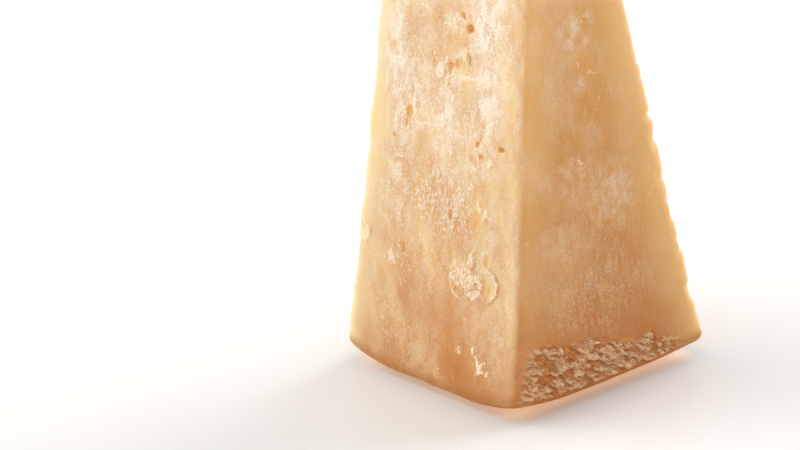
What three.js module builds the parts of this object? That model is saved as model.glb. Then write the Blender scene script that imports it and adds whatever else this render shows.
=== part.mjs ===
// A wedge of hard grating cheese, cut from a drum-shaped wheel and stood on its rind with the tip up.
//
// The wedge is one solid piece. Two radial cuts, which met at the wheel's centre, are its front (-Y) and
// back (+Y) faces, and they lean together up to a blunt tip. Two level cuts across the wheel are its left
// (-X) and right (+X) faces. The underside is the wheel's rind, which bulges a little both ways and is
// flattened in the middle, where the piece stands. Handling has rounded the four long edges. The cuts'
// edges at the rind are still crisp.
//
// Millimetres, +Z up. The origin is below the middle of the bounding box, on the standing surface.

import * as THREE from "three";
import { mergeVertices } from "three/addons/utils/BufferGeometryUtils.js";

// Driving dimensions
const height = 210; // rind to tip, which is nearly the wheel's radius
const rindWidth = 78; // between the radial cuts, where they would meet the standing surface
const rindThickness = 78; // between the level cuts, at the same level
const frontLean = 7.6; // degrees that each radial cut leans in from upright
const backLean = 12.4;
const levelCutLean = 3.6; // degrees that each level cut leans in
const longEdgeLow = 4.5; // radius of the four long edges at the rind
const longEdgeHigh = 1.6; // and at the tip
const endEdge = 1.6; // radius of the edges round the rind and round the tip
const restHalf = 16; // half the side of the flattened patch under the piece
const riseToLevelCuts = 3.9; // how far the rind has risen where it reaches the level cuts
const riseToRadialCuts = 2.4; // and the radial cuts
const riseFade = 60; // height over which the faces take up the rind's rise

// Segments of the net that is wrapped onto the wedge
const bendSegments = 2; // in half of each rounded edge
const faceSegments = 8; // across each face, between its rounded edges
const upSegments = 8;

const slope = (degrees) => Math.tan(THREE.MathUtils.degToRad(degrees));
const lerp = THREE.MathUtils.lerp;

const halfThickness = (z) => rindThickness / 2 - z * slope(levelCutLean);
const frontFace = (z) => -rindWidth / 2 + z * slope(frontLean);
const backFace = (z) => rindWidth / 2 - z * slope(backLean);

// How far the rind stands off the surface at (x, y): nothing on the flat patch, then a parabola each way.
function rindLift(x, y) {
  const past = (distance, half) => Math.max(0, Math.abs(distance) - restHalf) / (half - restHalf);
  const towardsLevelCuts = riseToLevelCuts * past(x, rindThickness / 2) ** 2;
  const towardsRadialCuts = riseToRadialCuts * past(y, rindWidth / 2) ** 2;
  return towardsLevelCuts + towardsRadialCuts;
}

// Splits one coordinate of the net into its place on the flat (-1 to 1) and its way round the bend.
function splitNet(t, flatSegments) {
  const bendShare = (2 * bendSegments) / (flatSegments + 2 * bendSegments);
  const flat = THREE.MathUtils.clamp(t, bendShare - 1, 1 - bendShare);
  return { flat: flat / (1 - bendShare), bend: (t - flat) / bendShare };
}

// The wedge's surface: a box-shaped net, each point of which is put on the inner block that the long edges
// are rounded about, then moved out level by what their radius has over the end edges' radius, and then
// moved out by the end edges' radius.
function wedgeGeometry() {
  const across = faceSegments + 2 * bendSegments;
  const up = upSegments + 2 * bendSegments;
  const net = new THREE.BoxGeometry(2, 2, 2, across, across, up);
  const places = net.getAttribute("position");
  for (let i = 0; i < places.count; i++) {
    const x = splitNet(places.getX(i), faceSegments);
    const y = splitNet(places.getY(i), faceSegments);
    const z = splitNet(places.getZ(i), upSegments);
    const share = (z.flat + 1) / 2;
    const level = lerp(endEdge, height - endEdge, share);
    const longEdge = lerp(longEdgeLow, longEdgeHigh, share);
    const middle = (frontFace(level) + backFace(level)) / 2;
    const halfWidth = (backFace(level) - frontFace(level)) / 2;
    const point = new THREE.Vector3(
      x.flat * (halfThickness(level) - longEdge),
      middle + y.flat * (halfWidth - longEdge),
      level,
    );
    point.addScaledVector(new THREE.Vector3(x.bend, y.bend, 0).normalize(), longEdge - endEdge);
    point.addScaledVector(new THREE.Vector3(x.bend, y.bend, z.bend).normalize(), endEdge);
    const fade = Math.max(0, 1 - point.z / riseFade);
    point.z += rindLift(point.x, point.y) * fade;
    places.setXYZ(i, point.x, point.y, point.z);
  }
  net.deleteAttribute("normal");
  net.deleteAttribute("uv");
  const closed = mergeVertices(net, 1e-3);
  closed.computeVertexNormals();
  return closed;
}

// Puts the geometry's bounding box over the origin, standing on it.
function standOnOrigin(geometry) {
  geometry.computeBoundingBox();
  const { min, max } = geometry.boundingBox;
  geometry.translate(-(min.x + max.x) / 2, -(min.y + max.y) / 2, -min.z);
  return geometry;
}

const cheese = new THREE.MeshStandardMaterial({ color: "#e3b883", roughness: 0.55, metalness: 0 });
const wedge = new THREE.Mesh(standOnOrigin(wedgeGeometry()), cheese);
wedge.name = "cheese_wedge";

const part = new THREE.Group();
part.add(wedge);
export default part;
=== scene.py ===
# A wedge of hard grating cheese, standing on its rind on a pale studio floor.
# Its size comes from the frame. Shapes are worked out in millimetres and put into the mesh in metres.

from math import cos, pi, radians, sin, tan

import bmesh
import bpy
import numpy as np
from mathutils import Matrix, Vector


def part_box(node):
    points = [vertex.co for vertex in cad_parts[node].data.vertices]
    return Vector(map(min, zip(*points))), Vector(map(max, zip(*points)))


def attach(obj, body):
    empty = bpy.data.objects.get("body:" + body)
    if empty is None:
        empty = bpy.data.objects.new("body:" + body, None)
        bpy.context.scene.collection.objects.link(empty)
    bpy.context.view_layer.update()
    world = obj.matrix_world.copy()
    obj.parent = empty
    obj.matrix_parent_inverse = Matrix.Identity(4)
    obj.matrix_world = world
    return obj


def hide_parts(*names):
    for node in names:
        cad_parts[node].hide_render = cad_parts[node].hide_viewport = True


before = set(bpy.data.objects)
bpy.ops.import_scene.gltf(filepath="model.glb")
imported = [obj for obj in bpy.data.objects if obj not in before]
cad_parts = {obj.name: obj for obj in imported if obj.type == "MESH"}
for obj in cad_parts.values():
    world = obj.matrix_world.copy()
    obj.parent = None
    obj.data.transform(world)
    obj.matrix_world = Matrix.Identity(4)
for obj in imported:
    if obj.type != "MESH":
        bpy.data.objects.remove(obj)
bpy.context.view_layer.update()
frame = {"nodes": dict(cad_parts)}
print("frame loaded:", ", ".join(frame["nodes"]))

millimetre = 0.001


def linearColour(hexCode):
    # sRGB hex to linear: values over 0.04045 follow ((c + 0.055) / 1.055) ^ 2.4, and lower ones c / 12.92
    channels = np.array([int(hexCode[i:i + 2], 16) for i in (1, 3, 5)]) / 255
    curved = ((channels + 0.055) / 1.055) ** 2.4
    return (*np.where(channels > 0.04045, curved, channels / 12.92), 1.0)


def smoothStep(low, high, value):
    # 0 below low, 1 above high, and 3t^2 - 2t^3 between them
    t = np.clip((value - low) / (high - low), 0, 1)
    return t * t * (3 - 2 * t)


def mixHash(x, y, z, seed):
    # Stirs three whole numbers and a seed into one number from 0 to 1, the same on every run. Each is
    # multiplied by a large number, and the sum's high bits are folded onto its low ones.
    mask = 0xFFFFFFFF
    stirred = (x * 374761393 + y * 668265263 + z * 1442695041 + seed * 1013904223) & mask
    stirred = ((stirred ^ (stirred >> 13)) * 1274126177) & mask
    stirred = ((stirred ^ (stirred >> 15)) * 1103515245) & mask
    return (stirred ^ (stirred >> 16)) / mask


def hashWays(cells, seed):
    # Three random numbers for each cell of a lattice
    return np.stack([mixHash(*cells.T, seed + shift) for shift in (0, 101, 202)], axis=1)


def slopeNoise(points, size, seed):
    # Gradient noise from -1 to 1: every corner of a lattice of the given size has a random slope, and the
    # eight corners' planes are faded into each other by 6t^5 - 15t^4 + 10t^3
    places = points / size
    cell = np.floor(places).astype(np.int64)
    part = places - cell
    fade = part ** 3 * (part * (part * 6 - 15) + 10)
    total = np.zeros(len(points))
    for corner in np.ndindex(2, 2, 2):
        share = np.prod(np.where(corner, fade, 1 - fade), axis=1)
        slopes = hashWays(cell + corner, seed) * 2 - 1
        total += share * np.sum(slopes * (part - corner), axis=1)
    return total * 1.5  # so that it runs from about -1 to 1


def layeredNoise(points, size, seed, layers=3):
    # Slope noise, with layers of half the size and half the height added
    return sum(slopeNoise(points, size / 2 ** i, seed + 7 * i) / 2 ** i for i in range(layers))


def cellNoise(points, seed):
    # Cells of size 1 round scattered centres, one in each cube of a lattice. Gives each point's way from the
    # nearest centre, and that centre's random number.
    cube = np.floor(points).astype(np.int64)
    least = np.full(len(points), np.inf)
    away = np.zeros_like(points)
    number = np.zeros(len(points))
    for step in np.ndindex(3, 3, 3):
        neighbour = cube + step - 1
        way = points - neighbour - hashWays(neighbour, seed)
        distance = np.linalg.norm(way, axis=1)
        closer = distance < least
        least = np.where(closer, distance, least)
        away = np.where(closer[:, None], way, away)
        number = np.where(closer, mixHash(*neighbour.T, seed + 303), number)
    return away, number


def node(tree, kind, inputs=None, **settings):
    # Adds a node with its settings. An input that is a socket or a node is linked, from the node's first
    # output in use. A hex colour is turned linear and set, and any other value is set as it is.
    made = tree.nodes.new(kind)
    for name, value in settings.items():
        setattr(made, name, value)
    for name, value in (inputs or {}).items():
        if isinstance(value, bpy.types.Node):
            value = next(output for output in value.outputs if output.enabled)
        if isinstance(value, bpy.types.NodeSocket):
            tree.links.new(value, made.inputs[name])
        else:
            made.inputs[name].default_value = linearColour(value) if isinstance(value, str) else value
    return made


def newMaterial(name):
    # An empty material, and its node tree
    material = bpy.data.materials.new(name)
    material.use_nodes = True
    material.node_tree.nodes.clear()
    return material, material.node_tree


def meshObject(name, points, faces):
    mesh = bpy.data.meshes.new(name)
    mesh.from_pydata(points, [], faces)
    mesh.validate()
    made = bpy.data.objects.new(name, mesh)
    bpy.context.scene.collection.objects.link(made)
    return made


def readVectors(values, key):
    flat = np.zeros(len(values) * 3)
    values.foreach_get(key, flat)
    return flat.reshape(-1, 3)


form = {
    "frontLean": 7.6,  # degrees that each radial cut leans in from upright
    "backLean": 12.4,
    "levelCutLean": 3.6,  # and each level cut
    "longEdgeLow": 4.5,  # radius of the long edges at the rind, mm
    "longEdgeHigh": 1.6,  # and at the tip
    "nearEdgeShare": 0.7,  # of that radius, at the front right edge, which is crisper than the others
    "endEdge": 1.6,  # radius of the edges round the rind and round the tip, mm
    "restHalf": 16,  # half the side of the flattened patch under the piece, mm
    "riseToLevelCuts": 3.9,  # how far the rind rises off the floor towards its edges, mm
    "riseToRadialCuts": 2.4,
    "riseFade": 60,  # height over which the sides take up that rise, mm
    # faces across each side, round each bend and up the net, before any are cut finer
    "columns": {"right": 54, "back": 44, "left": 44, "front": 54, "bend": 4},
    "rows": {"rind": 16, "bend": 3, "low": 92, "high": 44, "tip": 2},
    "closeBelow": 122,  # height below which rows are close together, mm
}

low, high = (np.array(corner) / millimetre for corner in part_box("cheese_wedge"))
height = high[2] - low[2]


def loopPlaces(u):
    # Once round a rounded rectangle, as u goes from 0 to 8: its right side, right-back bend, back side and
    # so on. Gives the place on the inner rectangle, from -1 to 1 each way, and the way out of it.
    side = np.floor(u).astype(int) % 8
    along = (u - np.floor(u)) * 2 - 1
    quarter = side // 2
    bend = side % 2
    angle = quarter * pi / 2 + bend * (along + 1) * pi / 4
    straight = np.where(bend, 1, along)
    # along the right side x is 1 and y goes from -1 to 1; the other sides are that one, turned
    turnedX = np.cos(quarter * pi / 2) - np.sin(quarter * pi / 2) * straight
    turnedY = np.sin(quarter * pi / 2) + np.cos(quarter * pi / 2) * straight
    return turnedX, turnedY, np.cos(angle), np.sin(angle)


def riseOfRind(x, y):
    # Nothing on the flat patch, then a parabola towards each edge
    def past(distance, half):
        return np.maximum(0, np.abs(distance) - form["restHalf"]) / (half - form["restHalf"])
    return form["riseToLevelCuts"] * past(x, high[0]) ** 2 + form["riseToRadialCuts"] * past(y, high[1]) ** 2


def wedgeSurface(u, v):
    # v goes from 0, the middle of the rind, over its edge at 1 to 2, up the sides to 3, over the tip's
    # edge to 4, and in to the middle of the tip at 5. A point is a place on the inner block that the long
    # edges are rounded about, plus their radius along the way out. The end edges' radius is a part of it
    # that also tilts down or up.
    placeX, placeY, outX, outY = loopPlaces(u)
    share = np.clip(v - 2, 0, 1)
    longEdge = form["longEdgeLow"] + (form["longEdgeHigh"] - form["longEdgeLow"]) * share
    fromNearEdge = np.abs((u + 4.5) % 8 - 4)  # along u, which is 7.5 in the middle of the front right bend
    crisper = longEdge * (1 - (1 - form["nearEdgeShare"]) * (1 - smoothStep(0.5, 1.4, fromNearEdge)))
    longEdge = np.maximum(crisper, form["endEdge"])
    level = form["endEdge"] + (height - 2 * form["endEdge"]) * share
    tilt = (np.clip(v - 1, 0, 1) - 1 + np.clip(v - 3, 0, 1)) * pi / 2
    shrink = np.clip(v, 0, 1) * np.clip(5 - v, 0, 1)
    halfX = high[0] - level * tan(radians(form["levelCutLean"])) - longEdge
    front = low[1] + level * tan(radians(form["frontLean"])) + longEdge
    back = high[1] - level * tan(radians(form["backLean"])) - longEdge
    level = level + form["endEdge"] * np.sin(tilt)
    beyond = longEdge - form["endEdge"]
    tilted = form["endEdge"] * np.cos(tilt)
    x = (placeX * halfX + beyond * outX) * shrink + tilted * outX
    y = (front + back) / 2 + (placeY * (back - front) / 2 + beyond * outY) * shrink + tilted * outY
    z = level
    z = z + riseOfRind(x, y) * np.maximum(0, 1 - z / form["riseFade"])
    return np.stack([x, y, z], axis=-1)


def wedgeNet():
    # The surface on a grid, closed by one point at the middle of the rind and one at the middle of the tip
    columns, rows = form["columns"], form["rows"]
    sides = (columns["right"], columns["back"], columns["left"], columns["front"])
    u = np.concatenate([
        step + np.arange(count) / count
        for step, count in enumerate(count for side in sides for count in (side, columns["bend"]))
    ])
    turn = 2 + form["closeBelow"] / height
    v = np.concatenate([
        np.linspace(0, 1, rows["rind"], endpoint=False)[1:],
        np.linspace(1, 2, rows["bend"], endpoint=False),
        np.linspace(2, turn, rows["low"], endpoint=False),
        np.linspace(turn, 3, rows["high"], endpoint=False),
        np.linspace(3, 4, rows["tip"] * 2, endpoint=False),
        np.linspace(4, 5, rows["tip"], endpoint=False),
    ])
    grid = wedgeSurface(*np.meshgrid(u, v))
    poles = wedgeSurface(np.zeros(2), np.array([0.0, 5.0]))
    points = np.concatenate([grid.reshape(-1, 3), poles])
    index = np.arange(len(v) * len(u)).reshape(len(v), len(u))
    after = np.roll(index, -1, axis=1)
    quads = np.stack([index[:-1], after[:-1], after[1:], index[1:]], axis=-1).reshape(-1, 4)
    rindPole, tipPole = len(points) - 2, len(points) - 1
    rindFan = [(rindPole, b, a) for a, b in zip(index[0], after[0])]
    tipFan = [(tipPole, a, b) for a, b in zip(index[-1], after[-1])]
    return points, quads.tolist() + rindFan + tipFan


# Places on the front cut are millimetres (x, z), and on the right level cut (y, z). Sizes are half sizes.
frontMarks = {
    "pits": [  # place, half size, turn in degrees, depth
        ((9.5, 107), (1.8, 1.3), 0, 3.2),
        ((6.5, 110), (0.9, 2.0), 35, 1.4),
        ((4, 102.5), (3.8, 3.2), 0, 0.6),
        ((10.5, 98.5), (0.6, 1.7), 10, 1.6),
        ((2, 95), (1.4, 2.6), -32, 2.4),
        ((5.5, 97), (2.2, 1.6), 40, 1.2),
        ((-22.5, 98), (2.4, 1.8), 0, 0.5),
        ((-14.5, 80), (1.7, 2.4), 0, 1.6),
        ((-15.5, 76.5), (0.9, 1.9), 0, 1.1),
        ((-20.5, 72), (0.9, 1.2), 20, 1.2),
        ((-17.5, 65), (2.3, 1.0), 12, 0.9),
        ((16, 76), (1.2, 1.3), 0, 1.7),
        ((18, 73), (1.3, 0.8), 0, 1.4),
        ((13.5, 71.5), (1.5, 1.1), 0, 0.8),
        ((26, 76.5), (1.5, 1.1), 0, 2.4),
        ((17.5, 54.5), (3.2, 2.4), -20, 0.8),
        ((-13, 40), (1.2, 2.4), 0, 0.9),
        ((10.5, 34), (1.2, 2.1), 38, 1.0),
        ((22.5, 44), (1.6, 2.2), 0, 0.8),
        ((22.5, 36.5), (2.6, 2.6), 0, 0.5),
        ((21.5, 15), (1.0, 3.0), 55, 0.9),
    ],
    "flakes": [  # place, half size, turn, lift
        ((16, 43), (1.5, 2.2), 0, 0.3),
        ((15.5, 37.5), (3.2, 3.4), 30, 0.35),
        ((11.5, 38.5), (5.2, 4.4), 35, 0.14),
        ((18.5, 33.5), (2.2, 1.6), 10, 0.3),
        ((9, 100), (1.1, 1.8), 0, 0.55),
        ((-1.5, 94), (1.8, 2.8), -25, 0.45),
        ((2, 92), (0.8, 1.8), -20, 0.6),
        ((23.5, 13.5), (3.4, 1.1), 52, 0.25),
        ((13.5, 16.5), (1.5, 1.2), 0, 0.15),
        ((-30.5, 40.5), (2.0, 3.0), -20, 0.5),
        ((18.5, 58.5), (0.9, 2.1), 25, 0.35),
        ((21, 57), (0.8, 2.3), -15, 0.35),
        ((15, 69), (1.2, 1.9), 20, 0.3),
        ((21.5, 71.5), (1.0, 1.6), 0, 0.25),
        ((14, 64), (1.6, 1.4), 0, 0.2),
        ((0, 64.5), (0.5, 2.0), 10, 0.3),
        ((5, 72), (0.5, 1.8), -10, 0.3),
        ((5.5, 54), (0.5, 1.8), 5, 0.3),
        ((-17.5, 79), (0.9, 1.4), 0, 0.3),
        ((-11.5, 81), (0.8, 1.8), 15, 0.3),
    ],
    "ledges": [  # corners of a line, reach on its left, lift: the curled-up edges of flakes
        (((16.5, 45.5), (15, 42), (16.5, 39.5), (20.5, 37), (20.5, 34.5), (18.5, 32.5)), 1.1, 0.8),
        (((25.5, 33.5), (27.5, 35.5), (28, 38.5), (26, 41), (23.5, 42)), 0.9, 0.7),
        (((7.5, 35), (9.5, 32.5), (12.5, 31)), 0.8, 0.5),
        (((12.5, 36.5), (15, 33.5), (17.5, 32)), 0.9, 0.5),
        (((1, 98.5), (0, 96), (1, 93), (2.5, 91.5)), 1.0, 0.5),
        (((-4.5, 99), (-3.5, 96.5), (-1.5, 95)), 1.0, 0.3),
        (((8.5, 101.5), (8, 99.5), (9, 97)), 0.7, 0.5),
        (((-20, 64.5), (-18.5, 66), (-16, 66)), 0.8, 0.3),
        (((19.5, 17.5), (21, 14.5), (23.5, 12.5), (26, 12)), 1.2, 0.6),
        (((-33, 44), (-30.5, 42), (-29.5, 39)), 1.1, 0.5),
    ],
    "scratches": [  # start, end, half width, strength
        ((6, 94), (28.5, 94.5), 0.4, 0.85),
        ((6.5, 93.5), (15, 94), 0.8, 0.85),
        ((-13.5, 77.5), (4, 78.5), 0.32, 0.85),
        ((-13.5, 111.5), (-9.5, 111.5), 0.35, 0.85),
        ((-13.5, 108), (-9, 107.5), 0.35, 0.85),
        ((-1.5, 110), (6.5, 109), 0.3, 0.85),
        ((-1.5, 107.5), (6, 106.5), 0.3, 0.85),
        ((12.5, 80.5), (27, 81), 0.25, 0.85),
    ],
    "frost": [  # place, half size, strength
        ((2.5, 109), (4.8, 3.4), 0.8),
        ((-1.5, 94), (3.0, 3.4), 1.0),
        ((9.5, 93), (5.0, 1.3), 0.8),
        ((-3, 78), (8.4, 4.6), 0.75),
        ((11, 81.5), (7.4, 3.6), 0.8),
        ((19.5, 78.5), (5.0, 3.4), 0.6),
        ((-17.5, 79), (1.3, 1.2), 1.0),
        ((-11.5, 80.5), (1.2, 1.6), 1.0),
        ((-13, 76), (1.1, 1.1), 1.0),
        ((15, 68.5), (2.0, 2.2), 1.0),
        ((21.5, 71.5), (1.7, 2.0), 0.8),
        ((14, 64), (2.2, 1.9), 0.8),
        ((18.5, 58), (1.3, 2.2), 1.0),
        ((21, 57.5), (1.1, 2.4), 1.0),
        ((0, 64.5), (0.9, 2.2), 0.9),
        ((5, 72), (0.9, 2.0), 0.9),
        ((-4.5, 50), (4.6, 8.0), 0.65),
        ((-18, 36.5), (3.6, 3.0), 1.4),
        ((-24.5, 38), (2.4, 2.2), 1.2),
        ((-31, 40.5), (3.4, 3.6), 0.9),
        ((17.5, 38), (7.0, 7.4), 0.75),
        ((25, 38), (3.4, 4.0), 0.5),
        ((27.5, 27), (4.5, 9.0), 0.55),
        ((30.5, 14), (4.0, 7.0), 0.5),
        ((13.5, 16.5), (2.0, 1.4), 0.8),
        ((23.5, 13.5), (2.6, 2.2), 0.7),
        ((18, 104), (6.0, 4.5), 0.5),
    ],
    "torn": [  # place, half size, strength: where the cut has torn and flecked the grain
        ((-16, 92), (12, 13), 0.7),
        ((12, 103), (14, 10), 0.5),
        ((2, 57), (17, 13), 1.0),
        ((12, 79), (9, 7), 0.9),
        ((-22, 60), (8, 10), 0.6),
        ((-12, 38), (9, 8), 0.7),
        ((2, 42), (14, 12), 0.6),
        ((16, 38), (9, 9), 0.8),
        ((-18, 18), (8, 8), 0.5),
    ],
}

rightMarks = {
    "pits": [
        ((-3, 97.5), (4.6, 4.4), 0, 0.5),
        ((-2.5, 109.5), (1.8, 0.8), 20, 0.6),
        ((-9, 69.5), (1.8, 0.9), -30, 0.6),
        ((-27, 16), (2.6, 1.6), 0, 1.1),
        ((-23, 14), (2.4, 1.3), 0, 0.9),
        ((-16, 17), (2.4, 1.5), -15, 1.2),
        ((-8.5, 15.5), (2.6, 1.3), -15, 1.1),
        ((6, 13.5), (3.8, 1.0), -8, 1.4),
        ((14.5, 11), (3.4, 0.8), -10, 1.2),
        ((-31, 9), (1.4, 1.0), 0, 0.8),
    ],
    "flakes": [
        ((-7.5, 70), (1.6, 0.7), -35, 0.12),
    ],
    "ledges": [
        (((-10.5, 71), (-8.5, 70.5), (-6.5, 68.5)), 0.7, 0.18),
        (((-6, 97.5), (-4, 94.5), (0.5, 93.5)), 0.8, 0.18),
        (((-3.5, 107.5), (-2.5, 110), (-0.5, 111.5)), 0.7, 0.2),
    ],
    "scratches": [
        ((5, 92), (-3.5, 77), 0.22, 0.42),
    ],
    "frost": [
        ((-6, 106), (8.0, 6.0), 0.45),
        ((-6, 91), (4.0, 3.0), 0.45),
        ((-11, 65), (8.0, 9.0), 0.42),
        ((-1.5, 110.5), (2.4, 1.6), 0.4),
        ((-8, 70.5), (2.6, 1.2), 0.4),
        ((-29, 51), (0.9, 0.9), 1.0),
        ((3, 58), (11.0, 11.0), 0.5),
        ((-17, 47), (11.0, 9.0), 0.42),
        ((-2, 33), (15.0, 10.0), 0.4),
    ],
    "torn": [
        ((0, 52), (15, 18), 0.7),
        ((-6, 30), (24, 14), 0.9),
        ((-8, 80), (10, 14), 0.4),
    ],
}

crumbs = {  # the flaky band where the right level cut crosses the rind
    "from": (-38, 26),  # y where it begins and ends, mm
    "startSlope": 0.42,  # how much farther back it begins for each mm up, above the level below
    "startLevel": 6,
    "fadeIn": (-2, 4),  # mm past where it begins, over which it fades in
    "fadeOut": (-8, 6),  # and past where it ends
    "topAtMiddle": 15.6,  # height of its upper limit at y = 0, mm
    "topSlope": -0.21,
    "aboveRind": 1.1,  # height of its lower limit above the rind's edge, mm
    "topWaver": (2.4, 7),  # mm up or down, and mm along
    "bottomWaver": (0.5, 3),
    "plateSize": (3.3, 1.6),  # mm along y and z
    "plateRagged": (0.9, 1.8),  # how far their outlines stray, over how many mm
    "fineness": 2.1,  # how many times smaller the crumbs on the plates are
    "fineTilt": 0.75,  # and their tilt, as a share of the plates'
    "slant": 0.35,
    "tilt": 0.9,  # mm that a plate rises from its middle to its lower side
    "step": 0.9,  # mm
    "missing": 0.3,  # share of the plates that have fallen out
    "creviceShadeCover": 0.75,
    "torn": 0.6,
}

grain = {  # millimetres
    "swells": ((0.55, 42, 31), (0.2, 13, 32)),  # height, size and seed of the cuts' slow swells
    "roughSize": 1.3,  # of the roughness
    "upwardStretch": 0.32,  # it is drawn out upwards, by one over this
    "torn": 0.3,  # height of the roughness where the grain is torn
    "smooth": 0.05,  # and elsewhere
    "tornHollowShade": 0.5,  # how deep the painted shade is in its hollows, from 0 to 1
    "tip": (14, 6),  # below the top: where the relief begins to fade, and where it ends
    "fuller": 1.2,  # along the back right edge
    "fullerReach": 4,
    "nibble": 1.1,  # taken out of it in places
    "nibbleSize": 4,
    "nibbleFrom": (14, 22),  # heights between which nibbles begin
    "nibbleTo": (76, 92),  # and end
    "waver": 1.1,  # of the other long edges
    "waverSize": 9,
    "waverReach": 3,
    "waverFrom": (4, 12),
    "chip": 0.5,
    "chipSize": 3,
}

markShape = {
    "strays": ((0.35, 1.5, 0), (0.5, 4, 5)),  # mm that outlines stray, over how many mm, and seed's shift
    "pitDepth": 0.42,  # share of the listed depth: the pits are shallow dishes
    "pitShade": (0.12, 0.42, 0.9),  # how deep its painted shade is: least, more for each mm of depth, and most
    "pitRim": 0.1,  # mm that the cheese stands up round a pit
    "flakeChalk": (0.36, 0.5),  # how pale a flake is: least, and more for each mm of lift
    "ledgeChalk": (0.4, 1.1, 0.95),
    "ledgeDrop": 0.5,  # how far its low side drops, as a share of its lift
    # painted shade on a ledge's low side, under the curl
    "ledgeDropShade": 0.45,
    "scratchDepth": 0.35,  # mm
    "frostChalk": 0.36,
}

drying = {  # how the pale film lies. A pair is a value on the level cuts, and one on the radial cuts.
    "film": (0.1, 0.47),
    "clouds": (0.3, 0.55),
    "cloudSize": 14,  # mm
    "breakSize": (4.5, 4),  # mm, of the breaks in frosted places
    "unbroken": 0.7,  # share of a frosted place that would stay without them
    "breakStrength": 1.1,
    "upwardStretch": 0.45,  # the radial cuts' clouds are drawn out upwards, by one over this
    "higher": 0.32,  # more film, on the radial cuts, above the heights below
    "higherFrom": (60, 110),  # mm
    "edge": 0.95,  # how strongly the long edges' painted glow shows, from 0 to 1
    "edgeGlowWidth": (10.5, 8.5),  # mm, how wide that painted glow is
    "edgeGlowSharpness": 1.6,  # power that its fading follows
    "edgeWaver": (0.8, 7),  # mm in or out, over how many mm
    "nearEdgeSpread": 8,  # mm
    "nearEdgeGlowLess": (0.35, 0.77),  # how much less of the painted glow shows by the near edge
    "nearEdgeGlowLowLess": 0.4,  # and less still on the level cuts, below the heights below
    "nearEdgeLow": (15, 90),
    "edgeFilm": 0.5,  # film right on the edges
    "nearEdgeFilm": 0.15,
    "edgeFilmWidth": 0.9,  # mm
    "edgeGlowClears": 0.7,  # share of the film that is missing where the edges' painted glow lies
    "rindward": (1, 0.85),  # how much darker the cheese gets near the rind
    "rindwardReach": 45,  # mm
    "rindCover": 0.65,
    "rindFrom": (1, 5),  # mm above the rind over which its colour fades out
    "rindWaver": (0.8, 9),  # mm up or down, over how many mm
}

layingOfMarks = (  # a cut, its marks, which way they run across and up it, and how far up they are moved
    ("front", frontMarks, 1, 1, 0),
    ("front", frontMarks, -1, -1, 228),
    ("back", frontMarks, 1, -1, 124),
    ("back", frontMarks, -1, 1, -100),
    ("right", rightMarks, 1, 1, 0),
    ("right", rightMarks, -1, -1, 226),
    ("left", rightMarks, -1, 1, 0),
    ("left", rightMarks, 1, -1, 218),
)


maskNames = ("frost", "chalk", "torn", "hollowShade", "flake", "creviceShade", "rindward", "rind", "radial", "edge")


def layMarks(points, cut, acrossWay, upWay, move):
    # Where points are in the marks' own millimetres
    across = points[:, 0] if cut in ("front", "back") else points[:, 1]
    return across * acrossWay, points[:, 2] * upWay + move


def cutsFaced(normals, least, most):
    # How far each point or face belongs to each cut
    ways = {"front": -normals[:, 1], "back": normals[:, 1], "right": normals[:, 0], "left": -normals[:, 0]}
    return {cut: smoothStep(least, most, way) for cut, way in ways.items()}


def ovalDistance(across, up, place, halfSize, turn=0):
    # Distance from a place as a share of an oval's half sizes: 0 at its middle and 1 at its rim
    c, s = cos(radians(turn)), sin(radians(turn))
    right, above = across - place[0], up - place[1]
    return np.hypot((right * c + above * s) / halfSize[0], (above * c - right * s) / halfSize[1])


def lineDistance(across, up, corners):
    # Distance to a line through some corners, and the side of it that a point is on: positive to the left
    away, side = np.full(len(across), 1e3), np.zeros(len(across))
    for start, end in zip(corners[:-1], corners[1:]):
        run, rise = end[0] - start[0], end[1] - start[1]
        length = np.hypot(run, rise)
        along = np.clip(((across - start[0]) * run + (up - start[1]) * rise) / length ** 2, 0, 1)
        distance = np.hypot(across - start[0] - along * run, up - start[1] - along * rise)
        leftward = ((up - start[1]) * run - (across - start[0]) * rise) / length
        side = np.where(distance < away, leftward, side)
        away = np.minimum(distance, away)
    return away, side


def atLeast(layers, name, value):
    # Brings one of the material's masks up to a value
    layers[name] = np.maximum(layers[name], value)


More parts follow.
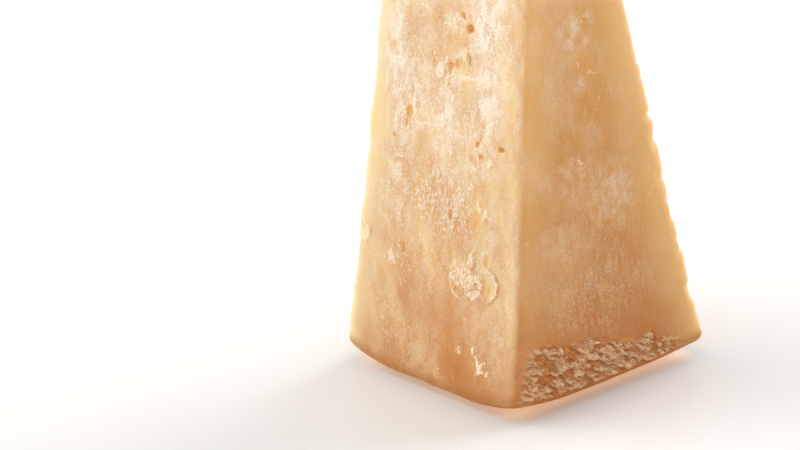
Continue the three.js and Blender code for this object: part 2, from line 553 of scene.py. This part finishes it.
def markFace(across, up, here, marks, layers):
    # Presses one cut face's marks into the relief (mm) and into the masks that the material reads. An oval
    # fades out between two shares of its half sizes. A line fades as e ^ -(distance / reach).
    least, perMillimetre, most = markShape["pitShade"]
    for place, halfSize, turn, depth in marks["pits"]:
        distance = ovalDistance(across, up, place, halfSize, turn)
        hollow = here * (1 - smoothStep(0.2, 1.1, distance))
        rim = here * np.exp(-((distance - 1.2) / 0.22) ** 2)
        layers["relief"] += markShape["pitRim"] * rim - markShape["pitDepth"] * depth * hollow
        stained = here * (1 - smoothStep(0.6, 1.1, distance))
        # Painted shade in the pit, deeper for deeper pits
        atLeast(layers, "hollowShade", stained * min(most, least + depth * perMillimetre))
    least, perMillimetre = markShape["flakeChalk"]
    for place, halfSize, turn, lift in marks["flakes"]:
        raised = here * (1 - smoothStep(0.8, 1.05, ovalDistance(across, up, place, halfSize, turn)))
        layers["relief"] += lift * raised
        atLeast(layers, "chalk", (least + perMillimetre * lift) * raised)
    least, perMillimetre, most = markShape["ledgeChalk"]
    for corners, reach, lift in marks["ledges"]:
        away, side = lineDistance(across, up, corners)
        curl = here * np.exp(-away / reach) * smoothStep(-0.1, 0.15, side)
        drop = here * np.exp(-away / reach) * smoothStep(0.15, -0.1, side)
        layers["relief"] += lift * curl - markShape["ledgeDrop"] * lift * drop
        atLeast(layers, "chalk", min(most, least + perMillimetre * lift) * curl)
        # Painted shade on the low side, under the curl
        atLeast(layers, "hollowShade", markShape["ledgeDropShade"] * drop)
    for start, end, halfWidth, strength in marks["scratches"]:
        away = lineDistance(across, up, (start, end))[0]
        cut = here * np.exp(-(away / halfWidth) ** 2)
        layers["relief"] -= markShape["scratchDepth"] * strength * cut
        atLeast(layers, "chalk", strength * cut)
    for place, halfSize, strength in marks["frost"]:
        cover = here * strength * (1 - smoothStep(0.3, 1.45, ovalDistance(across, up, place, halfSize)))
        atLeast(layers, "frost", cover * layers["patchy"])
        atLeast(layers, "chalk", markShape["frostChalk"] * cover * layers["patchy"])
    for place, halfSize, strength in marks["torn"]:
        cover = here * strength * (1 - smoothStep(0.5, 1.3, ovalDistance(across, up, place, halfSize)))
        atLeast(layers, "torn", cover)


def crumbleBand(points, here, layers):
    # Broken plates of rind: scattered cells, drawn out and slanted down along the edge. Each cell is a plate
    # that tilts out to a pale lip at its lower side, and stands a random step higher or lower.
    y, z = points[:, 1], points[:, 2]
    waver, size = crumbs["topWaver"]
    top = crumbs["topAtMiddle"] + crumbs["topSlope"] * y + waver * slopeNoise(points, size, 71)
    waver, size = crumbs["bottomWaver"]
    bottom = riseOfRind(points[:, 0], y) + crumbs["aboveRind"] + waver * slopeNoise(points, size, 72)
    inside = smoothStep(0, 1.2, top - z) * smoothStep(0, 0.8, z - bottom)
    first, last = crumbs["from"]
    first = first + crumbs["startSlope"] * np.maximum(z - crumbs["startLevel"], 0)
    inside *= here * smoothStep(*crumbs["fadeIn"], y - first)
    inside *= 1 - smoothStep(*crumbs["fadeOut"], y - last)
    stray, size = crumbs["plateRagged"]
    strays = [stray * slopeNoise(points, size, seed) for seed in (73, 74, 75)]
    ragged = points + np.stack(strays, axis=1)
    along, up = crumbs["plateSize"]
    down = crumbs["slant"] * ragged[:, 1]
    drawn = np.stack([0 * y, ragged[:, 1] / along, (ragged[:, 2] + down) / up], axis=1)
    away, number = cellNoise(drawn, 74)
    fineAway = cellNoise(drawn * crumbs["fineness"], 75)[0]
    lip = -away[:, 2] - crumbs["fineTilt"] * fineAway[:, 2]
    layers["relief"] += inside * (crumbs["tilt"] * lip + crumbs["step"] * (number - 0.6))
    pale = inside * smoothStep(-0.3, 0.4, lip + 0.4 * (number - 0.4)) * (number > crumbs["missing"])
    atLeast(layers, "flake", pale)
    # Painted shade in the plates' sunken parts and where plates have fallen out
    atLeast(layers, "creviceShade", crumbs["creviceShadeCover"] * inside * (1 - pale))
    atLeast(layers, "torn", crumbs["torn"] * inside)


def byCut(pair, radial):
    # From the first value, on the level cuts, to the second, on the radial ones
    level, onRadial = pair
    return level + (onRadial - level) * radial


def edgeDistances(points):
    # How far in from the nearer level cut, the back cut and the front cut each point is, measured level
    x, y, z = points.T
    fromSide = high[0] - z * tan(radians(form["levelCutLean"])) - np.abs(x)
    fromBack = high[1] - z * tan(radians(form["backLean"])) - y
    fromFront = y - low[1] - z * tan(radians(form["frontLean"]))
    return fromSide, fromBack, fromFront


def addGrain(points, layers):
    # Slow swells everywhere, fine roughness where the grain is torn, and long edges that are fuller, waver
    # and are nibbled and chipped in places. What an edge does fades as e ^ -(distance / reach).
    x, y, z = points.T
    for swell, size, seed in grain["swells"]:
        layers["relief"] += swell * slopeNoise(points, size, seed)
    rough = layeredNoise(points * (1, 1, grain["upwardStretch"]), grain["roughSize"], 33)
    layers["relief"] += (grain["torn"] * layers["torn"] + grain["smooth"]) * rough
    # Painted shade in the hollows of the torn roughness
    atLeast(layers, "hollowShade", grain["tornHollowShade"] * layers["torn"] * smoothStep(0.2, 0.6, -rough))
    fromSide, fromBack, fromFront = edgeDistances(points)
    backEdge = np.exp(-np.hypot(fromSide, fromBack) / grain["fullerReach"]) * (x > 0)
    layers["relief"] += grain["fuller"] * backEdge
    backEdge *= smoothStep(*grain["nibbleFrom"], z) * (1 - smoothStep(*grain["nibbleTo"], z))
    nibbles = smoothStep(0.05, 0.5, slopeNoise(points, grain["nibbleSize"], 34))
    layers["relief"] -= grain["nibble"] * backEdge * nibbles
    longEdge = np.exp(-np.hypot(fromSide, np.minimum(fromBack, fromFront)) / grain["waverReach"])
    longEdge *= (1 - backEdge) * smoothStep(*grain["waverFrom"], z)
    chips = smoothStep(0.2, 0.55, slopeNoise(points, grain["chipSize"], 36))
    waver = grain["waver"] * slopeNoise(points, grain["waverSize"], 35)
    layers["relief"] += longEdge * (waver - grain["chip"] * chips)
    fadeFrom, fadeTo = grain["tip"]
    layers["relief"] *= 1 - smoothStep(height - fadeFrom, height - fadeTo, z)


def layFilm(points, normals, layers):
    # The masks of the dried film, the painted glow of the long edges that light gets through, and the rind.
    # What an edge or the rind does fades as e ^ -(distance / reach).
    x, y, z = points.T
    radial = layers["radial"]
    drawnOut = points * (1, 1, drying["upwardStretch"])
    levelClouds, radialClouds = drying["clouds"]
    clouds = radial * radialClouds * layeredNoise(drawnOut, drying["cloudSize"], 41)
    clouds += (1 - radial) * levelClouds * layeredNoise(points, drying["cloudSize"], 44)
    higher = drying["higher"] * smoothStep(*drying["higherFrom"], z)
    film = byCut(drying["film"], radial) + clouds + radial * higher
    fromSide, fromBack, fromFront = edgeDistances(points)
    waver, size = drying["edgeWaver"]
    fromEdge = np.maximum(fromSide, np.minimum(fromBack, fromFront)) + waver * slopeNoise(points, size, 42)
    fromEdge = np.maximum(fromEdge, 0)
    spread = drying["nearEdgeSpread"]
    nearEdge = (1 + np.tanh(x / spread)) * (1 - np.tanh(y / spread)) / 4  # 1 by the front right edge, else 0
    less = byCut(drying["nearEdgeGlowLess"], radial)
    less += drying["nearEdgeGlowLowLess"] * (1 - radial) * (1 - smoothStep(*drying["nearEdgeLow"], z))
    width = byCut(drying["edgeGlowWidth"], radial)
    # The edge mask is painted light: a paler, warmer glow along the long edges, where light comes through
    layers["edge"] = np.exp(-(fromEdge / width) ** drying["edgeGlowSharpness"])
    layers["edge"] *= drying["edge"] - less * nearEdge
    aboveRind = z - riseOfRind(x, y)
    rindward = byCut(drying["rindward"], radial)
    layers["rindward"] = rindward * np.exp(-np.maximum(aboveRind, 0) / drying["rindwardReach"])
    onEdge = drying["edgeFilm"] + (drying["nearEdgeFilm"] - drying["edgeFilm"]) * nearEdge
    onEdge *= np.exp(-fromEdge / drying["edgeFilmWidth"])
    film = film * (1 - drying["edgeGlowClears"] * layers["edge"]) + onEdge
    atLeast(layers, "frost", np.clip(film, 0, 1))
    layers["frost"] *= 1 - rindward * layers["rindward"]
    waver, size = drying["rindWaver"]
    band = aboveRind - waver * slopeNoise(points, size, 43)
    underside = smoothStep(0.3, 0.7, -normals[:, 2])
    layers["rind"] = np.maximum(drying["rindCover"] * (1 - smoothStep(*drying["rindFrom"], band)), underside)


def surfaceLayers(points, normals):
    # The relief along the normal and the material's masks, for every point
    layers = {name: np.zeros(len(points)) for name in ("relief", *maskNames)}
    facing = cutsFaced(normals, 0.6, 0.9)
    radial = np.maximum(facing["front"], facing["back"])
    layers["radial"] = radial
    levelSize, radialSize = drying["breakSize"]
    breaks = radial * layeredNoise(points * (1, 1, drying["upwardStretch"]), radialSize, 21)
    breaks += (1 - radial) * layeredNoise(points, levelSize, 22)
    layers["patchy"] = np.clip(drying["unbroken"] + drying["breakStrength"] * breaks, 0, 1)
    strays = [
        sum(stray * slopeNoise(points, size, seed + shift) for stray, size, shift in markShape["strays"])
        for seed in (11, 12, 13)
    ]
    strayed = points + np.stack(strays, axis=1)  # so that the marks' outlines are ragged
    for cut, marks, *laying in layingOfMarks:
        markFace(*layMarks(strayed, cut, *laying), facing[cut], marks, layers)
    crumbleBand(points, facing["right"], layers)
    crumbleBand(points * (-1, -1, 1), facing["left"], layers)
    addGrain(points, layers)
    layFilm(points, normals, layers)
    return layers


cheeseLook = {
    "moist": "#d2964c",  # bare cheese, deep
    "moistLight": "#dda865",  # bare cheese, where the patches are lighter
    "mist": "#f2e9d9",  # a thin dried film
    "lowMist": "#e5ce98",  # and near the rind
    "streak": "#ebd18e",  # fatty streaks in the radial cuts
    "dryFleck": "#f6e6ce",  # torn flecks and crystals
    "chalk": "#f2dcc0",  # curled-up flakes
    "hollow": "#e6a952",  # painted shade: the deeper orange in pits, in torn hollows and under curled flakes
    "flake": "#e6b98f",  # broken rind plates
    "creviceShade": "#cb8148",  # painted shade in the hollows between them
    "nearRind": "#b3621a",
    "rind": "#a86c2a",
    "levelEdgeGlow": "#edc480",  # painted glow of the long edges, which light gets through, on the level cuts
    "radialEdgeGlow": "#f4e2b4",  # and on the radial cuts
    "noises": {  # cells to the metre, how far they are squeezed along X, Y and Z, and layers
        "patches": (45.0, (1, 1, 1), 2.0),  # 22 mm: ripening shows as lighter and darker stretches
        "mottle": (380.0, (1, 1, 0.6), 3.0),  # 2.6 mm, the curd's lumps
        "grain": (1700.0, (1, 1, 0.8), 2.0),  # 0.6 mm: the finest real grains are drawn coarser, to show
        "specks": (2400.0, (1, 1, 1), 1.0),  # 0.4 mm, drawn coarser for the same reason
        "levelFlecks": (1600.0, (1, 1, 1), 1.0),  # 0.6 mm, round where the cut goes across the grain
        "radialFlecks": (1600.0, (1, 1, 0.5), 1.0),  # and twice as long where it goes along it
    },
    "covers": {  # values of a noise or a sum between which a cover changes, and the cover's two values
        "patches": (0.3, 0.7, 0.0, 1.0),
        "mottle": (0.36, 0.64, 0.3, 0.8),
        "grain": (0.36, 0.66, 0.0, 0.42),
        "specks": (0.54, 0.68, 0.0, 1.0),
        "streaks": (0.42, 0.72, 0.0, 0.6),
        "dry": (0.7, 0.82, 0.0, 1.0),
        "chalk": (1.35, 1.6, 0.0, 1.0),
    },
    "streakScale": 120.0,  # 8 mm wide
    "streakStretch": (1, 1, 3.2),  # and 27 mm long
    "streakTurn": -24,  # degrees from upright
    "streakDims": 0.5,  # share of the film that is missing on a streak
    "filmBetween": 1.08,  # strength of the film off the streaks
    "specksInFilm": 0.5,
    "specksElsewhere": 0.09,
    "tornFlecks": 0.19,  # how many more flecks show where the grain is torn
    "flecksOnLevel": 0.23,  # how white they are
    "flecksOnRadial": 0.68,
    "bodyRoughness": 0.42,
    "dryRoughness": 0.62,
    "bumpStrength": 0.6,
    "bumpMillimetres": 0.4,
    "fleckHeight": 0.8,  # against the grain's height of 1
    "ior": 1.45,  # of butterfat
    "specularLevel": 0.35,  # duller than polished fat, because the cut is rough
    "scatter": 0.72,  # share of the light that goes into moist cheese
    "dryScatter": 0.17,  # and into dry flecks and flakes
    "scatterMillimetres": 5.0,
    "scatterColours": (1.0, 0.5, 0.2),  # red goes farthest
}


def cheeseMaterial():
    # Aged hard cheese, cut with a wire and handled: waxy and a little translucent, so thin edges glow, with
    # dull pale flecks where it has dried or torn
    look = cheeseLook
    material, tree = newMaterial("agedHardCheeseWireCut")
    place = node(tree, "ShaderNodeTexCoord").outputs["Object"]
    value = {}
    for name in maskNames:
        value[name] = node(tree, "ShaderNodeAttribute", attribute_name=name).outputs["Fac"]
    noise = {}
    for name, (scale, squeeze, layers) in look["noises"].items():
        squeezed = node(tree, "ShaderNodeVectorMath", {0: place, 1: squeeze}, operation="MULTIPLY")
        noise[name] = node(tree, "ShaderNodeTexNoise", {
            "Vector": squeezed, "Scale": scale, "Detail": layers})
    turned = node(tree, "ShaderNodeMapping", {
        "Vector": place,
        "Rotation": (0, radians(look["streakTurn"]), 0),
        "Scale": look["streakStretch"],
    }, vector_type="TEXTURE")
    noise["streaks"] = node(tree, "ShaderNodeTexNoise", {
        "Vector": turned, "Scale": look["streakScale"], "Detail": 3.0})
    flecks = node(tree, "ShaderNodeMix", {
        0: value["radial"], 2: noise["levelFlecks"], 3: noise["radialFlecks"]}, data_type="FLOAT")
    noise["dry"] = node(tree, "ShaderNodeMath", {
        0: value["torn"], 1: look["tornFlecks"], 2: flecks}, operation="MULTIPLY_ADD")
    ragged = node(tree, "ShaderNodeMath", {0: flecks, 1: noise["grain"]}, operation="ADD")
    noise["chalk"] = node(tree, "ShaderNodeMath", {0: value["chalk"], 1: ragged}, operation="ADD")
    for name, (start, end, before, after) in look["covers"].items():
        value[name] = node(tree, "ShaderNodeMapRange", {
            "Value": noise[name], "From Min": start, "From Max": end, "To Min": before, "To Max": after,
        }, interpolation_type="SMOOTHSTEP")
    value["fineGrain"] = noise["grain"]

    moreOnRadial = look["flecksOnRadial"] - look["flecksOnLevel"]
    rougher = look["dryRoughness"] - look["bodyRoughness"]
    lessScatter = look["dryScatter"] - look["scatter"]
    sums = (  # the name of a new value, what is done, and to which values or numbers
        ("film", "ADD", "mottle", "grain"),
        ("film", "MULTIPLY", "film", "frost"),
        ("speckCover", "MULTIPLY_ADD", "frost", look["specksInFilm"], look["specksElsewhere"]),
        ("speckCover", "MULTIPLY", "speckCover", "specks"),
        ("fromEdge", "SUBTRACT", 1.0, "edge"),
        ("film", "MULTIPLY_ADD", "speckCover", "fromEdge", "film"),
        ("streak", "MULTIPLY", "streaks", "radial"),
        ("onStreak", "MULTIPLY_ADD", "streak", -look["streakDims"], look["filmBetween"]),
        ("film", "MULTIPLY", "film", "onStreak"),
        ("fleckCover", "MULTIPLY_ADD", "radial", moreOnRadial, look["flecksOnLevel"]),
        ("fleckCover", "MULTIPLY", "fleckCover", "dry"),
        ("height", "MULTIPLY_ADD", "dry", look["fleckHeight"], "fineGrain"),
        ("roughness", "MULTIPLY_ADD", "dry", rougher, look["bodyRoughness"]),
        ("opaque", "MAXIMUM", "chalk", "flake"),
        ("opaque", "MAXIMUM", "opaque", "dry"),
        ("scatter", "MULTIPLY_ADD", "opaque", lessScatter, look["scatter"]),
    )
    for name, operation, *terms in sums:
        inputs = {i: value.get(term, term) for i, term in enumerate(terms)}
        value[name] = node(tree, "ShaderNodeMath", inputs, operation=operation)

    colour = {}
    coats = (  # the name of a colour, the value that mixes it, and the colours below and above
        # the long edges' painted glow, one colour for each kind of cut
        ("edge", "radial", look["levelEdgeGlow"], look["radialEdgeGlow"]),
        ("film", "rindward", look["mist"], look["lowMist"]),
        ("cheese", "patches", look["moist"], look["moistLight"]),
        ("cheese", "rindward", "cheese", look["nearRind"]),
        # painted glow along the long edges, laid over the cheese
        ("cheese", "edge", "cheese", "edge"),
        ("cheese", "streak", "cheese", look["streak"]),
        ("cheese", "film", "cheese", "film"),
        ("cheese", "fleckCover", "cheese", look["dryFleck"]),
        ("cheese", "rind", "cheese", look["rind"]),
        # painted shade in hollows
        ("cheese", "hollowShade", "cheese", look["hollow"]),
        ("cheese", "creviceShade", "cheese", look["creviceShade"]),
        ("cheese", "flake", "cheese", look["flake"]),
        ("cheese", "chalk", "cheese", look["chalk"]),
    )
    for name, share, below, above in coats:
        inputs = {0: value[share], 6: colour.get(below, below), 7: colour.get(above, above)}
        colour[name] = node(tree, "ShaderNodeMix", inputs, data_type="RGBA")

    bump = node(tree, "ShaderNodeBump", {
        "Height": value["height"],
        "Strength": look["bumpStrength"],
        "Distance": look["bumpMillimetres"] * millimetre,
    })
    shader = node(tree, "ShaderNodeBsdfPrincipled", {
        "Base Color": colour["cheese"],
        "Roughness": value["roughness"],
        "IOR": look["ior"],
        "Specular IOR Level": look["specularLevel"],
        "Subsurface Weight": value["scatter"],
        "Subsurface Radius": look["scatterColours"],
        "Subsurface Scale": look["scatterMillimetres"] * millimetre,
        "Normal": bump,
    }, subsurface_method="RANDOM_WALK")
    node(tree, "ShaderNodeOutputMaterial", {"Surface": shader})
    return material


detail = {
    "shownBetween": (0.5, 120),  # heights between which the front and right cuts get a fine mesh, mm
    "markMargin": 1.4,  # mm past a mark that its finest mesh goes
    "crumbMargin": 4,  # mm past the crumbling band's end
    "mergeWithin": 0.005,  # mm
}


def refine(mesh, chosen):
    # Cuts the chosen faces' edges in half, and the faces with them
    shape = bmesh.new()
    shape.from_mesh(mesh)
    shape.faces.ensure_lookup_table()
    picked = [shape.faces[i] for i in np.flatnonzero(chosen)]
    edges = list(dict.fromkeys(edge for face in picked for edge in face.edges))
    bmesh.ops.subdivide_edges(shape, edges=edges, cuts=1, use_grid_fill=True)
    shape.to_mesh(mesh)
    shape.free()


def mergeDoubles(mesh):
    # At the tip the rounded corners shrink to points, which are merged
    shape = bmesh.new()
    shape.from_mesh(mesh)
    bmesh.ops.remove_doubles(shape, verts=shape.verts, dist=detail["mergeWithin"] * millimetre)
    shape.to_mesh(mesh)
    shape.free()


def faceCentres(mesh):
    return readVectors(mesh.polygons, "center") / millimetre, readVectors(mesh.polygons, "normal")


def shownFaces(mesh):
    centres, normals = faceCentres(mesh)
    lowest, highest = detail["shownBetween"]
    shown = (normals[:, 1] < -0.5) | (normals[:, 0] > 0.5)
    return shown & (centres[:, 2] < highest) & (centres[:, 2] > lowest)


def markedFaces(mesh):
    centres, normals = faceCentres(mesh)
    facing = cutsFaced(normals, 0.79, 0.8)  # over 0 within about 38 degrees of a cut's own way
    margin = detail["markMargin"]
    chosen = np.zeros(len(centres), bool)
    for cut, marks, *laying in layingOfMarks:
        across, up = layMarks(centres, cut, *laying)
        here = facing[cut] > 0
        for place, halfSize, turn, _ in marks["pits"] + marks["flakes"]:
            chosen |= here & (ovalDistance(across, up, place, np.array(halfSize) + margin, turn) < 1)
        for corners, _, _ in marks["ledges"]:
            chosen |= here & (lineDistance(across, up, corners)[0] < margin)
    first, last = crumbs["from"]
    for cut, way in (("right", 1), ("left", -1)):
        y = centres[:, 1] * way
        top = crumbs["topAtMiddle"] + crumbs["topSlope"] * y + crumbs["topWaver"][0]
        inBand = (centres[:, 2] < top) & (y > first) & (y < last + detail["crumbMargin"])
        chosen |= (facing[cut] > 0) & inBand
    return chosen


def makeCheese():
    points, faces = wedgeNet()
    cheese = meshObject("cheeseWedgeBody", points * millimetre, faces)
    mesh = cheese.data
    mergeDoubles(mesh)
    refine(mesh, shownFaces(mesh))
    refine(mesh, markedFaces(mesh))
    points = readVectors(mesh.vertices, "co") / millimetre
    normals = readVectors(mesh.vertices, "normal")
    layers = surfaceLayers(points, normals)
    points += normals * layers.pop("relief")[:, None]
    points[:, 2] = np.maximum(points[:, 2], 0)
    mesh.vertices.foreach_set("co", (points * millimetre).ravel())
    for name in maskNames:
        mesh.attributes.new(name, "FLOAT", "POINT").data.foreach_set("value", np.clip(layers[name], 0, 1))
    mesh.update()
    mesh.shade_smooth()
    mesh.materials.append(cheeseMaterial())
    return cheese


cheese = makeCheese()
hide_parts("cheese_wedge")
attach(cheese, "root")
print("cheese made:", len(cheese.data.polygons), "faces,", len(cheese.data.vertices), "points")


studio = {
    "floorHalfSide": 30.0,  # metres
    "floorColour": "#f8f7f6",
    "floorRoughness": 0.4,
    "floorIor": 1.45,
    "airColour": "#ffffff",
    "horizonStrength": 1.08,  # the air's brightness level with the floor
    "zenithStrength": 0.5,  # and overhead
    "airFade": (0.12, 0.7),  # heights of the way looked along, from 0 to 1, over which it dims
    # for each soft light: strength, the way towards it, degrees across (so that shadows are soft) and colour
    "lights": {
        "keySoftbox": (1.61, (-0.72, -0.66, 0.68), 60, "#fbfaf5"),
        "backSoftbox": (1.7, (0.05, 1.0, 0.6), 50, "#ffffff"),
    },
    "paintedGlowColour": "#ffd8ac",  # of the painted glow round the cheese's foot, an emission standing in for light through the cheese
    "paintedGlowStrength": 0.45,
    "paintedGlowInset": 9,  # mm in from the rind's edge, where it begins to fade
    "paintedGlowReach": 11,  # mm over which it fades
}

cameraView = {
    "azimuth": 51.6,  # degrees round from looking along +Y
    "elevation": 18.4,
    "roll": 3.0,
    "distance": 671,  # mm, along the view from the camera to the level of the origin
    "right": -35.3,  # mm, how far the camera is moved across the view
    "up": 41.4,
    "lens": 100,  # mm
    "sensor": 36,  # mm across
}


def makeFloor():
    # White painted board: an even pale ground that takes soft shadows. Round the cheese's foot it has a
    # painted glow, a warm emission that stands in for light that comes through the cheese.
    points = [(-1, -1, 0), (1, -1, 0), (1, 1, 0), (-1, 1, 0)]
    floor = meshObject("paleFloor", np.array(points) * studio["floorHalfSide"], [(0, 1, 2, 3)])
    material, tree = newMaterial("whitePaintedBoardMatte")
    place = node(tree, "ShaderNodeTexCoord").outputs["Object"]
    flat = node(tree, "ShaderNodeVectorMath", {0: place}, operation="ABSOLUTE")
    inset = studio["paintedGlowInset"]
    foot = ((high[0] - inset) * millimetre, (high[1] - inset) * millimetre, 0)
    past = node(tree, "ShaderNodeVectorMath", {0: flat, 1: foot}, operation="SUBTRACT")
    past = node(tree, "ShaderNodeVectorMath", {0: past, 1: (0, 0, 0)}, operation="MAXIMUM")
    # Painted glow: emission, strongest under the foot and fading out past its edge
    glow = node(tree, "ShaderNodeMapRange", {
        "Value": node(tree, "ShaderNodeVectorMath", {0: past}, operation="LENGTH"),
        "From Min": 0.0, "From Max": studio["paintedGlowReach"] * millimetre,
        "To Min": studio["paintedGlowStrength"], "To Max": 0.0,
    }, interpolation_type="SMOOTHERSTEP")
    shader = node(tree, "ShaderNodeBsdfPrincipled", {
        "Base Color": studio["floorColour"],
        "Roughness": studio["floorRoughness"],
        "IOR": studio["floorIor"],
        "Emission Color": studio["paintedGlowColour"],
        "Emission Strength": glow,
    })
    node(tree, "ShaderNodeOutputMaterial", {"Surface": shader})
    floor.data.materials.append(material)


def makeSun(name, strength, towards, angle, colour):
    lamp = bpy.data.lights.new(name, "SUN")
    lamp.energy = strength
    lamp.angle = radians(angle)
    lamp.color = linearColour(colour)[:3]
    sun = bpy.data.objects.new(name, lamp)
    sun.rotation_euler = Vector(towards).to_track_quat("Z", "Y").to_euler()
    bpy.context.scene.collection.objects.link(sun)


def makeWorld():
    # White air, brightest at the horizon and dimmer overhead
    world = bpy.data.worlds.new("studioAir")
    bpy.context.scene.world = world
    world.use_nodes = True
    tree = world.node_tree
    tree.nodes.clear()
    way = node(tree, "ShaderNodeTexCoord").outputs["Generated"]
    level, overhead = studio["airFade"]
    strength = node(tree, "ShaderNodeMapRange", {
        "Value": node(tree, "ShaderNodeSeparateXYZ", {"Vector": way}).outputs["Z"],
        "From Min": level, "From Max": overhead,
        "To Min": studio["horizonStrength"], "To Max": studio["zenithStrength"],
    }, interpolation_type="SMOOTHSTEP")
    air = node(tree, "ShaderNodeBackground", {"Color": studio["airColour"], "Strength": strength})
    node(tree, "ShaderNodeOutputWorld", {"Surface": air})


def makeCamera():
    # The camera looks back along its own back axis, is moved across the view, and is then rolled
    turn, rise = radians(cameraView["azimuth"]), radians(cameraView["elevation"])
    back = Vector((sin(turn) * cos(rise), -cos(turn) * cos(rise), sin(rise)))
    right = Vector((cos(turn), sin(turn), 0))
    up = back.cross(right)
    place = back * cameraView["distance"] + right * cameraView["right"] + up * cameraView["up"]
    lens = bpy.data.cameras.new("camera")
    lens.lens = cameraView["lens"]
    lens.sensor_width = cameraView["sensor"]
    camera = bpy.data.objects.new("camera", lens)
    axes = Matrix((right, up, back)).transposed().to_4x4()
    roll = Matrix.Rotation(-radians(cameraView["roll"]), 4, "Z")
    camera.matrix_world = Matrix.Translation(place * millimetre) @ axes @ roll
    bpy.context.scene.collection.objects.link(camera)
    bpy.context.scene.camera = camera


makeFloor()
makeWorld()
for name, light in studio["lights"].items():
    makeSun(name, *light)
makeCamera()
bpy.context.scene.view_settings.view_transform = "Standard"
print("studio made")
